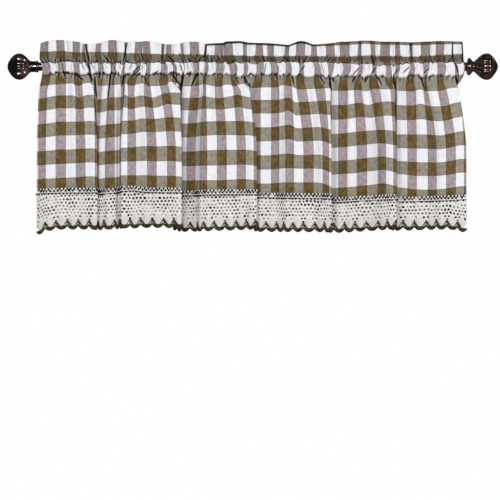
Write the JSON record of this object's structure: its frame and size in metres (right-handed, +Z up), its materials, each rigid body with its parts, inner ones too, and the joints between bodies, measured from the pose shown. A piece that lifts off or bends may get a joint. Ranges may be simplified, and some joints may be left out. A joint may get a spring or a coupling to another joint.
{
  "type": "window valance on a curtain rod",
  "caption": "Gathered gingham window valance with a ruffled heading, rod pocket, lace band and scalloped cord edging, hanging on a curtain rod with lobed ball finials.",
  "frame": {"origin": "On the axis of the curtain rod, at the middle of its length, where the valance is held.", "axes": "+Z up, X along the rod, the valance faces -Y into the room and +Y is the window side."},
  "size_m": [0.8985, 0.0492, 0.3539],
  "materials": {
    "gingham": "plain-woven cotton blend in brown and white checks",
    "lace": "cream cotton crochet lace",
    "cord": "dark olive-brown chain-stitched cord",
    "bronze": "glossy dark bronze lacquer"
  },
  "bodies": {
    "root": {"gingham_cloth": "gingham", "lace_band": "lace", "edging": "cord", "rod": "bronze", "finial_left": "bronze", "finial_right": "bronze"}
  },
  "joints": []
}
